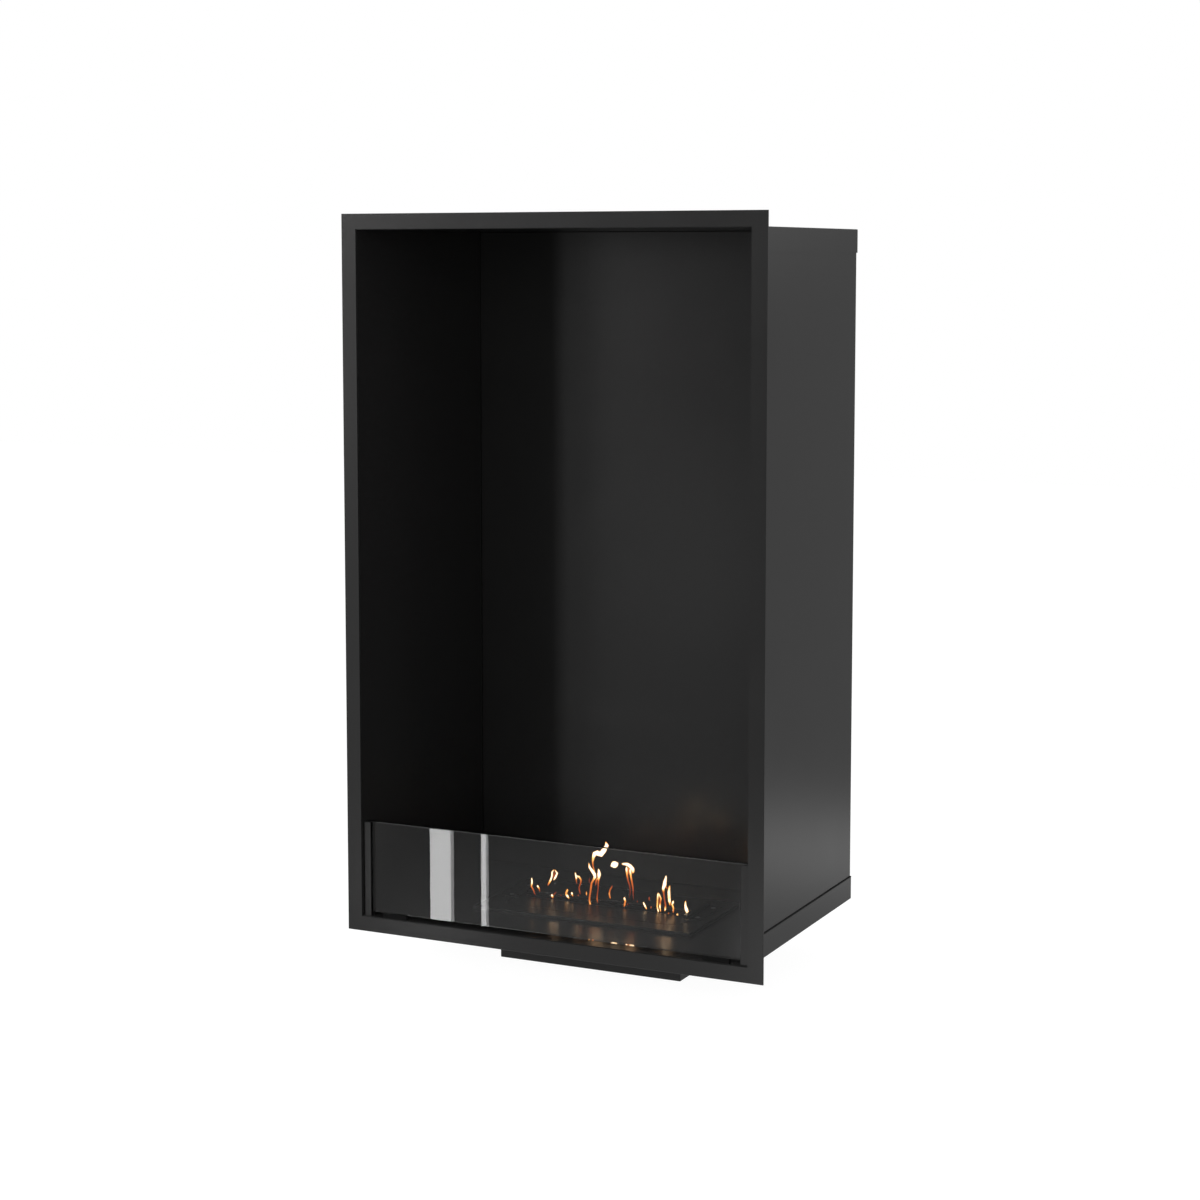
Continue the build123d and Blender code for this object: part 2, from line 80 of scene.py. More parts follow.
body_low, body_high = CAD_BOX
glass_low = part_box("glass_pane")[0]
tray_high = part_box("bottom_tray")[1]
print("overall size:", [round(edge, 4) for edge in body_high - body_low])

# %% [markdown]
# ## A way to write shader maths
#
# A finish is a small graph of nodes. Written node by node it is hard to read, so one class wraps a socket
# and lets ordinary Python arithmetic add the Math nodes: `roughness + lines * BRUSH_GLOSS` is three words
# and two nodes. Every other node comes from the one method `node`.

# %% The shader value class
class Value:
    """One socket of a shader, which adds Math nodes when it is used in an expression."""

    def __init__(self, tree, socket=None):
        self.tree = tree
        self.socket = socket

    def node(self, kind, settings=None, sockets=None, output=0):
        """Adds a node: its type, its settings, then the values or links of its sockets."""
        made = self.tree.nodes.new(kind)
        for name, value in (settings or {}).items():
            if name == "stops":
                self.set_stops(made.color_ramp, value)
            else:
                setattr(made, name, value)
        for name, value in (sockets or {}).items():
            if isinstance(value, Value):
                self.tree.links.new(value.socket, made.inputs[name])
            else:
                made.inputs[name].default_value = value
        return Value(self.tree, made.outputs[output]) if made.outputs else None

    def set_stops(self, ramp, stops):
        """Fills a colour ramp with its (position, colour) stops."""
        while len(ramp.elements) < len(stops):
            ramp.elements.new(1.0)
        for element, (position, colour) in zip(ramp.elements, stops):
            element.position = position
            element.color = colour

    def maths(self, operation, first, second):
        return self.node("ShaderNodeMath", {"operation": operation}, {0: first, 1: second})

    def __add__(self, other):
        return self.maths("ADD", self, other)

    def __radd__(self, other):
        return self.maths("ADD", other, self)

    def __sub__(self, other):
        return self.maths("SUBTRACT", self, other)

    def __mul__(self, other):
        return self.maths("MULTIPLY", self, other)

    def larger(self, other):
        return self.maths("MAXIMUM", self, other)


WHITE = (1.0, 1.0, 1.0, 1.0)


def grey(level, warmth=0.0):
    """A near-neutral colour: the same in red, green and blue, but for a little warmth."""
    return (level * (1 + warmth), level, level * (1 - warmth), 1.0)


def new_material(name):
    """An empty material and the start of its shader."""
    material = bpy.data.materials.new(name)
    material.use_nodes = True
    material.node_tree.nodes.clear()
    return material, Value(material.node_tree)


def finish_with(shader, surface):
    """Links the last shader of a material to its output."""
    shader.node("ShaderNodeOutputMaterial", None, {"Surface": surface})


def surface_place(shader, stretch=(1.0, 1.0, 1.0)):
    """The point on the piece, in metres, with each axis stretched for a pattern that has a direction."""
    place = shader.node("ShaderNodeTexCoord", None, None, "Object")
    return shader.node("ShaderNodeMapping", {"vector_type": "POINT"}, {"Vector": place, "Scale": stretch})


def grains(shader, place, size, detail=2.0):
    """Soft random grains of about one size, in metres, as a value from 0 to 1."""
    sockets = {"Vector": place, "Scale": 1.0 / size, "Detail": detail, "Roughness": 0.5}
    return shader.node("ShaderNodeTexNoise", None, sockets, "Fac")


def between(shader, share, low, high):
    """A colour between two colours, by a share from 0 to 1."""
    settings = {"data_type": "RGBA", "blend_type": "MIX"}
    return shader.node("ShaderNodeMix", settings, {0: share, 6: low, 7: high}, 2)


def bumps(shader, height, strength, depth):
    """Small bumps from a value, of a depth in metres."""
    return shader.node("ShaderNodeBump", None, {"Strength": strength, "Distance": depth, "Height": height})


# %% [markdown]
# ## Satin black powder coat
#
# The casing is sheet steel, powder coated. The powder melts into a skin with a very fine orange peel, so
# its gloss is broken up: a lamp shows as a broad pale patch and never as a sharp one. The colour is nearly
# black, the gloss is that of any paint, and all the variety sits in the roughness and in a bump of a few
# hundredths of a millimetre. The same recipe serves the casing, the front frame and the burner's enamel.

# %% Powder coat
COAT_BLACK = 0.0165
ENAMEL_BLACK = 0.009
COAT_IOR = 1.5
CLOUD_SIZE = 60 * MM
PEEL_SIZE = 1.1 * MM
SPECK_SIZE = 0.35 * MM
PEEL_STRENGTH = 0.35
MOTTLING = 0.14
CLOUD_SHARE = 0.6
CLOUD_GLOSS = 0.04
SPECK_GLOSS = 0.02


def powder_coat(name, level, roughness, peel_height):
    """Black powder coat: fine peel, slow clouds of gloss and a trace of mottling."""
    material, shader = new_material(name)
    place = surface_place(shader)
    clouds = grains(shader, place, CLOUD_SIZE, detail=3.0)
    peel = grains(shader, place, PEEL_SIZE, detail=1.0)
    speck = grains(shader, place, SPECK_SIZE, detail=0.0)
    mottle = clouds * CLOUD_SHARE + speck * (1 - CLOUD_SHARE)
    dark = grey(level * (1 - MOTTLING))
    pale = grey(level * (1 + MOTTLING), warmth=0.01)
    colour = between(shader, mottle, dark, pale)
    rough = roughness - (CLOUD_GLOSS + SPECK_GLOSS) / 2 + clouds * CLOUD_GLOSS + speck * SPECK_GLOSS
    skin = bumps(shader, peel, PEEL_STRENGTH, peel_height)
    coat = {"Base Color": colour, "Roughness": rough, "Normal": skin, "IOR": COAT_IOR}
    finish_with(shader, shader.node("ShaderNodeBsdfPrincipled", None, coat))
    return material


FRAME_COAT = powder_coat("satin_black_frame", COAT_BLACK, roughness=0.22, peel_height=0.03 * MM)
CASING_COAT = powder_coat("satin_black_casing", COAT_BLACK, roughness=0.22, peel_height=0.03 * MM)
BURNER_COAT = powder_coat("burner_enamel", ENAMEL_BLACK, roughness=0.33, peel_height=0.015 * MM)
print("coats made:", FRAME_COAT.name, CASING_COAT.name, BURNER_COAT.name)

# %% [markdown]
# ## Brushed stainless and zinc
#
# The tank and the retainer are stainless steel, brushed along their length. Brushing leaves long fine
# lines, which a noise gives when it is squeezed in one direction. The rivets are zinc plated, which has
# soft blue-grey spangles instead of lines.

# %% Bare metals
BRUSH_STRETCH = (0.02, 1.0, 1.0)
BRUSH_SIZE = 0.25 * MM
BRUSH_DEPTH = 0.01 * MM
BRUSH_STRENGTH = 0.3
BRUSH_SHADE = 0.85
BRUSH_GLOSS = 0.1
SMUDGE_SIZE = 25 * MM
SMUDGE_GLOSS = 0.08
SPANGLES_PER_METRE = 900.0
ZINC_DARK = grey(0.42, warmth=-0.02)
ZINC_PALE = grey(0.56, warmth=-0.01)
ZINC_ROUGHNESS = 0.32
SPANGLE_GLOSS = 0.12


def brushed_steel(name, level, roughness):
    """Stainless steel with fine lines along X."""
    material, shader = new_material(name)
    lines = grains(shader, surface_place(shader, BRUSH_STRETCH), BRUSH_SIZE, detail=3.0)
    smudge = grains(shader, surface_place(shader), SMUDGE_SIZE)
    colour = between(shader, lines, grey(level * BRUSH_SHADE, warmth=0.01), grey(level, warmth=0.01))
    metal = {"Base Color": colour, "Metallic": 1.0}
    metal["Roughness"] = roughness + lines * BRUSH_GLOSS + smudge * SMUDGE_GLOSS
    metal["Normal"] = bumps(shader, lines, BRUSH_STRENGTH, BRUSH_DEPTH)
    finish_with(shader, shader.node("ShaderNodeBsdfPrincipled", None, metal))
    return material


def zinc_plate(name):
    """Zinc plated steel with faint spangles."""
    material, shader = new_material(name)
    cells = {"Vector": surface_place(shader), "Scale": SPANGLES_PER_METRE}
    spangle = shader.node("ShaderNodeTexVoronoi", None, cells, "Color")
    shade = shader.node("ShaderNodeRGBToBW", None, {"Color": spangle})
    colour = between(shader, shade, ZINC_DARK, ZINC_PALE)
    metal = {"Base Color": colour, "Metallic": 1.0, "Roughness": ZINC_ROUGHNESS + shade * SPANGLE_GLOSS}
    finish_with(shader, shader.node("ShaderNodeBsdfPrincipled", None, metal))
    return material


STAINLESS = brushed_steel("brushed_stainless", level=0.57, roughness=0.24)
ZINC = zinc_plate("zinc_plate")
print("metals made:", STAINLESS.name, ZINC.name)

# %% [markdown]
# ## Clear glass with polished edges
#
# The pane is a closed sheet, five millimetres thick, so a real glass shader suits it: light bends into it
# and out again, and what shows in its polished edges comes from inside, as it does in a real pane. The
# faces have hardly any colour. All that they gain is a trace of smear, which is where hands have been.

# %% Glass
GLASS_IOR = 1.5
GLASS_TINT = (0.975, 0.985, 0.98, 1.0)
GLASS_CLEAREST = (0.99, 0.995, 0.99, 1.0)
SMEAR_SIZE = 22 * MM
SMEAR_ROUGHNESS = 0.003


def clear_glass(name):
    """Clear float glass with a trace of smear on its polish."""
    material, shader = new_material(name)
    smear = grains(shader, surface_place(shader), SMEAR_SIZE, detail=3.0)
    tint = between(shader, smear, GLASS_TINT, GLASS_CLEAREST)
    pane = {"Base Color": tint, "IOR": GLASS_IOR, "Transmission Weight": 1.0}
    pane["Roughness"] = smear * SMEAR_ROUGHNESS
    finish_with(shader, shader.node("ShaderNodeBsdfPrincipled", None, pane))
    return material


GLASS = clear_glass("clear_glass")
print("glass made:", GLASS.name)

# %% [markdown]
# ## Rubber pads and ceramic wool
#
# The glass stands on two black silicone pads. Under the deck, white ceramic wool soaks up the fuel. Both
# are dull, and what makes them read as rubber or wool is the size of their grain. The black strip of painted
# shade in a later step uses the same rubber black, and is made here beside the pads.

# %% Dull materials
BLACK_RUBBER = (grey(0.003), grey(0.005))
WHITE_FIBRE = (grey(0.62, warmth=0.02), grey(0.82, warmth=0.01))


def dull_surface(name, colours, grain, depth, roughness):
    """A dull surface with a fine grain, between two colours."""
    material, shader = new_material(name)
    pattern = grains(shader, surface_place(shader), grain, detail=4.0)
    dull = {"Base Color": between(shader, pattern, *colours), "Roughness": roughness}
    dull["Normal"] = bumps(shader, pattern, strength=0.6, depth=depth)
    finish_with(shader, shader.node("ShaderNodeBsdfPrincipled", None, dull))
    return material


SILICONE = dull_surface("black_silicone", BLACK_RUBBER, grain=0.8 * MM, depth=0.05 * MM, roughness=0.85)
# The black of the painted shadow line above the tray's lip: a rubber-black strip that paints shade.
SHADOW_LINE_BLACK = dull_surface("black_painted_shadow_line", BLACK_RUBBER, grain=1.0 * MM, depth=0.1 * MM, roughness=0.85)
WOOL = dull_surface("ceramic_wool_white", WHITE_FIBRE, grain=1.5 * MM, depth=0.4 * MM, roughness=0.95)
print("dull finishes made:", SILICONE.name, SHADOW_LINE_BLACK.name, WOOL.name)

# %% [markdown]
# ## Which piece has which finish
#
# A short table says it, and one loop gives each piece its finish, so no piece can be forgotten.

# %% Dress the pieces
FINISHES = {
    "front_frame": FRAME_COAT,
    "left_side_panel": CASING_COAT,
    "right_side_panel": CASING_COAT,
    "top_cap": CASING_COAT,
    "bottom_tray": CASING_COAT,
    "rear_panel": CASING_COAT,
    "inner_back_panel": CASING_COAT,
    "left_back_spacer": ZINC,
    "right_back_spacer": ZINC,
    "spacer_rivets": ZINC,
    "left_glass_post": CASING_COAT,
    "right_glass_post": CASING_COAT,
    "glass_rest_pads": SILICONE,
    "glass_pane": GLASS,
    "burner_well": CASING_COAT,
    "well_rivets": ZINC,
    "burner_tank": STAINLESS,
    "burner_trim_plate": BURNER_COAT,
    "burner_deck": BURNER_COAT,
    "ceramic_wool": WOOL,
    "wick_retainer": STAINLESS,
    "left_lid_guide": BURNER_COAT,
    "right_lid_guide": BURNER_COAT,
    "guide_rivets": ZINC,
    "snuffer_lid": BURNER_COAT,
}

for name, piece in nodes.items():
    piece.data.materials.clear()
    piece.data.materials.append(FINISHES[name])
print("pieces dressed:", len(FINISHES))

# %% [markdown]
# ## The painted shadow line
#
# Where the tray's turned-up lip ends against the side panels, a narrow gap shows as a fine black line of
# shade. A thin black strip paints that shade in: it is painted shadow, not a part of the fireplace. It is a
# strip about a millimetre square that runs up one side, along the back and down the other. One square end,
# drawn out from corner to corner, makes it.
#
# Whatever is drawn starts as a bmesh, a mesh that can still be pulled about, and one helper then makes an
# object of it.

# %% Sealant bead
SHADOW_LINE_HEIGHT = 1.0 * MM
SHADOW_LINE_INSET = 0.05 * MM


def piece_from(name, mesh, material):
    """Turns a bmesh into an object with one material, and puts it into the scene."""
    data = bpy.data.meshes.new(name)
    mesh.to_mesh(data)
    mesh.free()
    data.materials.append(material)
    piece = bpy.data.objects.new(name, data)
    scene.collection.objects.link(piece)
    return piece


def shadow_line_strip(name):
    """A thin black strip on top of the tray's lip, along both sides and the back: painted shade for the gap
    above the lip.
    """
    side_low, side_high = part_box("right_side_panel")
    rear_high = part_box("rear_panel")[1]
    inner = side_high.x
    outer = tray_high.x - SHADOW_LINE_INSET
    back_inner = rear_high.y
    back_outer = tray_high.y - SHADOW_LINE_INSET
    low = tray_high.z
    high = low + SHADOW_LINE_HEIGHT
    front = side_low.y
    mesh = bmesh.new()
    corners = [Vector((x, front, z)) for x, z in ((inner, low), (outer, low), (outer, high), (inner, high))]
    end = mesh.faces.new([mesh.verts.new(corner) for corner in corners])
    moves = [
        lambda v: Vector((v.x, back_outer if abs(v.x) > (inner + outer) / 2 else back_inner, v.z)),
        lambda v: Vector((-v.x, v.y, v.z)),
        lambda v: Vector((v.x, front, v.z)),
    ]
    for move in moves:
        made = bmesh.ops.extrude_face_region(mesh, geom=[end], use_keep_orig=end.index == 0)
        verts = [item for item in made["geom"] if isinstance(item, bmesh.types.BMVert)]
        end = next(item for item in made["geom"] if isinstance(item, bmesh.types.BMFace))
        for vert in verts:
            vert.co = move(vert.co)
    bmesh.ops.recalc_face_normals(mesh, faces=mesh.faces[:])
    piece = piece_from(name, mesh, SHADOW_LINE_BLACK)
    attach(piece, "firebox")
    return piece


# Painted shade: a black strip stands in for the shadow of the gap above the tray's lip.
bead = shadow_line_strip("tray_shadow_line_strip")
print("sealant bead faces:", len(bead.data.polygons))

# %% [markdown]
# ## The flames
#
# Ethanol burns as loose strands that lean, curl and break off. Each strand is a tube with a changing
# thickness: a small ring at its tip is drawn out from point to point, turned to follow the way, and made
# wider or narrower on the way, as if pulling soft toffee. A Subdivision Surface then rounds it.
#
# The strands were measured in squares of a grid laid over a picture of the burning row: squares
# across, squares down, half a width, and how hot the gas looks there, from 0 (dull red) to 1 (near white).
# Each flame also has its own place in the depth of the slot, in millimetres.

# %% Strands of flame, as (across, down, half width, heat)
FLAMES = {
    "slim_left": (-6, [
        [(31.9, 77.1, 0.9, 0.9), (32.2, 82.2, 1.1, 1.0), (31.6, 86.1, 1.0, 0.6), (33.8, 89.9, 0.9, 0.45),
         (34.8, 93.1, 0.8, 0.3), (36.3, 95.3, 0.5, 0.15)]]),
    "wisp": (-3, [
        [(37.6, 84.6, 0.5, 0.8), (37.9, 85.9, 1.2, 1.0), (39.5, 88.3, 0.9, 0.6), (40.3, 92.4, 0.6, 0.2)]]),
    "comma": (-4, [
        [(55.2, 68.8, 0.6, 0.8), (58.0, 72.8, 1.2, 0.95), (56.3, 76.5, 1.3, 1.0), (54.2, 80.0, 0.8, 0.8)],
        [(54.8, 69.0, 0.6, 0.8), (52.8, 71.7, 1.1, 0.95), (52.6, 75.9, 1.1, 1.0), (51.3, 79.7, 1.2, 0.9),
         (49.4, 83.2, 1.0, 0.6), (48.1, 85.7, 0.5, 0.4)],
        [(55.3, 71.4, 0.7, 0.3), (54.9, 74.0, 1.4, 0.35), (54.0, 77.5, 0.6, 0.3)]]),
    "low_left": (-7, [
        [(52.3, 94.0, 0.6, 0.9), (52.8, 95.3, 1.4, 1.0), (53.4, 96.9, 1.1, 0.6), (53.8, 98.6, 0.5, 0.3)],
        [(57.4, 91.2, 0.5, 0.25), (55.2, 93.7, 0.8, 0.35), (54.2, 95.0, 0.5, 0.4)],
        [(61.7, 94.3, 0.4, 0.2), (61.9, 95.3, 0.8, 0.25), (62.1, 96.3, 0.4, 0.2)],
        [(48.3, 98.3, 0.4, 0.2), (48.5, 99.3, 0.8, 0.25), (48.7, 100.3, 0.4, 0.2)]]),
    "bead": (-3, [
        [(68.4, 88.6, 0.6, 0.7), (68.4, 89.9, 1.2, 0.75), (67.2, 92.4, 1.3, 0.6), (67.2, 94.2, 1.3, 0.7),
         (68.4, 95.8, 1.4, 1.0), (69.6, 97.6, 0.9, 0.8), (70.1, 99.0, 0.5, 0.5)]]),
    "bead_small": (-6, [
        [(72.8, 91.7, 0.5, 0.8), (72.9, 92.8, 1.2, 1.0), (73.5, 94.8, 0.9, 0.7), (74.1, 96.7, 0.5, 0.4)]]),
    "leaf": (-4, [
        [(76.4, 71.8, 0.5, 0.8), (76.6, 73.4, 0.9, 1.0), (77.5, 77.1, 1.2, 1.0), (77.4, 79.6, 0.8, 0.5),
         (78.1, 84.4, 0.5, 0.25)],
        [(77.6, 75.2, 0.7, 0.9), (80.2, 76.4, 1.2, 0.85), (82.2, 79.4, 1.0, 0.6), (81.9, 82.5, 1.0, 0.4),
         (81.0, 85.0, 0.9, 0.35), (80.2, 87.2, 0.9, 0.35), (80.7, 90.7, 1.0, 0.35), (81.7, 94.4, 0.6, 0.25)],
        [(79.3, 94.1, 0.4, 0.3), (79.4, 95.1, 0.8, 0.4), (79.5, 96.1, 0.4, 0.3)],
        [(87.6, 91.0, 0.5, 0.6), (87.7, 93.2, 0.9, 0.7), (87.8, 95.4, 0.5, 0.6)]]),
    "swirl": (-5, [
        [(106.3, 41.4, 0.7, 0.7), (107.5, 45.2, 2.1, 1.0), (105.5, 49.8, 2.8, 1.0), (102.2, 53.8, 3.2, 1.0),
         (98.6, 52.6, 3.0, 1.0), (95.8, 53.4, 2.5, 1.0), (94.5, 57.4, 1.6, 0.8), (94.0, 61.5, 1.1, 0.6),
         (94.3, 65.6, 0.8, 0.5), (95.3, 69.2, 0.8, 0.6), (95.9, 73.0, 1.0, 0.9)]]),
    "left_strand": (-6, [
        [(90.0, 62.2, 0.6, 0.8), (90.9, 66.8, 1.4, 0.95), (93.6, 70.6, 1.8, 1.0), (95.9, 74.0, 2.0, 1.0),
         (96.3, 76.8, 1.6, 0.9), (94.6, 79.6, 1.2, 0.6), (92.8, 82.9, 1.2, 0.55), (92.3, 87.1, 1.2, 0.55),
         (91.7, 91.7, 1.1, 0.5), (90.9, 96.3, 1.1, 0.5), (90.7, 100.1, 1.1, 0.55), (91.5, 103.9, 1.1, 0.7),
         (92.3, 106.4, 0.8, 0.95)],
        [(90.9, 77.0, 0.4, 0.15), (90.6, 80.0, 0.9, 0.2), (90.7, 83.0, 0.4, 0.15)]]),
    "right_strand": (-4, [
        [(99.7, 68.1, 0.6, 0.8), (100.3, 71.0, 1.5, 1.0), (100.5, 74.1, 2.1, 1.0), (100.1, 77.6, 1.4, 0.8),
         (99.7, 80.6, 1.0, 0.5), (99.5, 84.8, 0.9, 0.35), (99.5, 88.6, 0.8, 0.3), (98.6, 94.4, 0.8, 0.35),
         (98.4, 99.3, 0.8, 0.5), (99.3, 103.2, 0.5, 0.25)],
        [(99.2, 77.4, 0.8, 0.7), (97.7, 79.6, 1.0, 0.55), (97.2, 82.6, 0.9, 0.4), (96.9, 85.9, 0.5, 0.25)]]),
    "ball": (-5, [
        [(114.4, 60.9, 1.0, 0.8), (114.9, 62.2, 3.0, 1.0), (115.8, 64.2, 4.9, 1.0), (116.5, 66.2, 3.3, 1.0),
         (116.8, 67.6, 1.0, 0.8)]]),
    "arc": (-6, [
        [(113.8, 84.8, 0.4, 0.3), (113.2, 86.4, 0.8, 0.4), (111.4, 89.6, 0.9, 0.5), (110.6, 93.2, 1.0, 0.6),
         (111.4, 97.0, 0.9, 0.6), (111.9, 98.6, 0.4, 0.4)]]),
    "hook": (-4, [
        [(122.8, 63.6, 0.5, 0.7), (124.8, 63.6, 1.3, 1.0), (128.6, 64.0, 1.9, 1.0), (131.5, 65.9, 2.2, 1.0),
         (134.0, 68.8, 2.1, 1.0), (134.4, 71.4, 1.5, 0.8), (133.9, 73.4, 0.6, 0.5)],
        [(127.9, 66.0, 0.8, 0.9), (127.8, 68.9, 1.3, 0.95), (128.4, 74.9, 1.1, 0.6), (129.4, 80.3, 1.0, 0.4),
         (131.1, 85.4, 0.9, 0.3), (131.6, 91.5, 0.8, 0.2), (130.5, 98.1, 0.5, 0.12)],
        [(131.4, 67.8, 0.8, 0.9), (131.5, 70.9, 1.3, 0.95), (132.3, 76.9, 1.1, 0.65), (133.2, 81.5, 1.1, 0.5),
         (134.2, 87.3, 1.0, 0.4), (134.4, 93.5, 0.8, 0.25), (134.8, 99.8, 0.5, 0.15)],
        [(129.6, 67.0, 0.8, 0.6), (129.6, 70.2, 1.3, 0.5), (129.9, 74.2, 0.6, 0.4)]]),
    "low_middle": (-6, [
        [(125.5, 96.6, 0.6, 0.8), (125.8, 98.0, 1.2, 1.0), (126.6, 101.0, 1.1, 0.6), (125.8, 104.7, 1.1, 0.6),
         (125.3, 106.6, 0.5, 0.4)],
        [(129.0, 102.8, 0.4, 0.2), (129.0, 103.9, 0.8, 0.25), (129.0, 105.0, 0.4, 0.2)],
        [(138.6, 99.9, 0.4, 0.2), (138.6, 101.0, 0.8, 0.25), (138.6, 102.1, 0.4, 0.2)]]),
    "spark": (-4, [
        [(144.4, 101.4, 0.5, 0.8), (144.9, 102.8, 1.0, 1.0), (146.2, 105.4, 1.1, 0.95),
         (147.4, 107.8, 0.8, 0.8), (147.9, 109.0, 0.4, 0.5)],
        [(150.3, 96.0, 0.4, 0.3), (150.3, 98.2, 1.0, 0.35), (150.3, 100.4, 0.4, 0.3)],
        [(152.1, 105.6, 0.4, 0.4), (152.1, 106.8, 0.9, 0.45), (152.1, 108.0, 0.4, 0.4)]]),
    "narrow": (-6, [
        [(159.2, 92.0, 0.5, 0.8), (158.8, 94.0, 1.0, 0.95), (158.4, 100.0, 1.0, 0.7),
         (158.2, 106.0, 1.0, 0.8), (159.1, 110.3, 0.9, 0.95), (159.4, 111.8, 0.4, 0.8)],
        [(159.5, 92.4, 0.5, 0.8), (160.2, 94.6, 0.9, 0.9), (161.8, 97.9, 1.0, 0.7), (161.2, 101.7, 1.0, 0.5),
         (160.7, 105.5, 1.0, 0.95), (161.3, 109.8, 0.8, 0.7), (161.6, 111.4, 0.4, 0.5)],
        [(160.1, 97.0, 0.5, 0.2), (160.0, 100.0, 0.9, 0.2), (159.6, 104.0, 0.5, 0.2)]]),
    "tall_right": (-6, [
        [(166.8, 75.2, 0.5, 0.9), (166.6, 77.0, 1.1, 1.0), (165.7, 81.0, 1.9, 1.0), (165.2, 84.7, 2.2, 1.0),
         (163.9, 88.1, 1.5, 0.95), (164.4, 92.0, 1.1, 0.4), (165.1, 97.9, 1.0, 0.35),
         (166.3, 104.5, 1.0, 0.45), (166.0, 108.6, 1.1, 0.9), (165.4, 110.7, 0.5, 0.6)],
        [(165.6, 85.8, 0.7, 0.7), (166.9, 86.9, 1.0, 0.5), (168.3, 88.3, 0.6, 0.4)]]),
    "tall_right_side": (-4, [
        [(170.4, 85.0, 0.5, 0.7), (170.1, 86.8, 1.0, 0.8), (169.6, 91.2, 1.6, 0.9), (169.8, 96.7, 1.7, 0.85),
         (170.2, 100.5, 1.5, 0.95), (170.6, 103.6, 1.0, 0.6), (170.8, 105.4, 0.4, 0.4)],
        [(174.0, 99.8, 0.6, 0.8), (173.6, 101.6, 1.3, 1.0), (172.8, 103.9, 1.1, 0.8),
         (174.0, 107.1, 1.1, 0.7), (173.9, 110.8, 0.9, 0.55), (173.8, 112.4, 0.4, 0.4)],
        [(169.3, 111.6, 0.4, 0.5), (169.3, 112.6, 0.9, 0.55), (169.3, 113.6, 0.4, 0.5)],
        [(177.9, 112.5, 0.5, 0.7), (177.9, 113.9, 1.3, 0.85), (177.9, 115.3, 0.5, 0.7)]]),
    "teardrop": (-5, [
        [(185.8, 100.0, 0.4, 0.7), (185.7, 101.6, 0.9, 0.85), (185.7, 104.8, 1.3, 0.95),
         (186.6, 108.4, 2.0, 1.0), (188.2, 113.0, 1.5, 0.75), (190.0, 117.4, 0.7, 0.5),
         (190.7, 119.4, 0.3, 0.4)]]),
}
print("flames:", len(FLAMES), "with", sum(len(strands) for y, strands in FLAMES.values()), "strands")

# %% [markdown]
# The picture looks at the slot from the right and from a little above. So one square across is more than
# a square's width along the slot, and a level row sinks on the grid as it goes to the right, which the
# row's climb takes out again. The middle of the row of flames is at square 110 across and 100 down. A
# flame further back in the slot shows further to the right and higher up than it would in the middle of
# the slot. The slope of the line of sight says by how much, for each millimetre of depth.

# %% From the grid to the slot
SQUARE_ACROSS = 1.257
SQUARE_DOWN = 1.158
ROW_CLIMB = 0.14
SIGHT_ACROSS = 0.476
SIGHT_CLIMB = 0.283
SLOT_MIDDLE_Y = -5.0
GRID_MIDDLE = (110.0, 100.0)
GRID_MIDDLE_AT = (2.5, 68.0)


def from_grid(across, down, y):
    """A place in millimetres, from squares of the grid and a depth."""
    right = across - GRID_MIDDLE[0]
    below = down - GRID_MIDDLE[1]
    deeper = y - SLOT_MIDDLE_Y
    x = GRID_MIDDLE_AT[0] + SQUARE_ACROSS * right - SIGHT_ACROSS * deeper
    z = GRID_MIDDLE_AT[1] - SQUARE_DOWN * below + ROW_CLIMB * right - SIGHT_CLIMB * deeper
    return Vector((x, y, z))


print("middle of the row:", [round(edge, 1) for edge in from_grid(*GRID_MIDDLE, SLOT_MIDDLE_Y)], "mm")

# %% [markdown]
# One strand is drawn out from its tip to its foot. A shell made thinner than the strands keeps a least share
# of their width, so that no thin end turns inside out. Each point also says how hot the gas is there, and
# the mesh carries that as a value on its corners.

# %% Draw the strands out
RING_SIDES = 8
STRAND_DEPTH = 0.8
LEAST_WIDTH = 0.4
ROUNDING_STEPS = 2


def ring_place(centres, index, half_width):
    """How one ring of a strand stands: at its centre, turned along the way, scaled to its half width."""
    along = (centres[min(index + 1, len(centres) - 1)] - centres[max(index - 1, 0)]).normalized()
    turn = Matrix((Vector((-along.z, 0, along.x)), Vector((0, 1, 0)), along)).transposed().to_4x4()
    size = Matrix.Diagonal((half_width, half_width * STRAND_DEPTH, half_width, 1.0))
    return Matrix.Scale(MM, 4) @ Matrix.Translation(centres[index]) @ turn @ size


def add_strand(mesh, heat_layer, y, points, grow):
    """Draws one strand out ring by ring, from its tip to its foot, and gives each ring its heat."""
    centres = [from_grid(across, down, y) for across, down, half_width, heat in points]
    halves = [half_width for across, down, half_width, heat in points]
    heats = [heat for across, down, half_width, heat in points]
    widths = [max(half + grow, half * LEAST_WIDTH) * SQUARE_DOWN for half in halves]
    place = ring_place(centres, 0, widths[0])
    made = bmesh.ops.create_circle(mesh, cap_ends=True, segments=RING_SIDES, radius=1.0, matrix=place)
    ring = made["verts"]
    cap = ring[0].link_faces[0]
    for vert in ring:
        vert[heat_layer] = heats[0]
    for index in range(1, len(points)):
        next_place = ring_place(centres, index, widths[index])
        drawn = bmesh.ops.extrude_face_region(mesh, geom=[cap], use_keep_orig=index == 1)
        ring = [item for item in drawn["geom"] if isinstance(item, bmesh.types.BMVert)]
        cap = next(item for item in drawn["geom"] if isinstance(item, bmesh.types.BMFace))
        bmesh.ops.transform(mesh, matrix=next_place @ place.inverted(), verts=ring)
        for vert in ring:
            vert[heat_layer] = heats[index]
        place = next_place


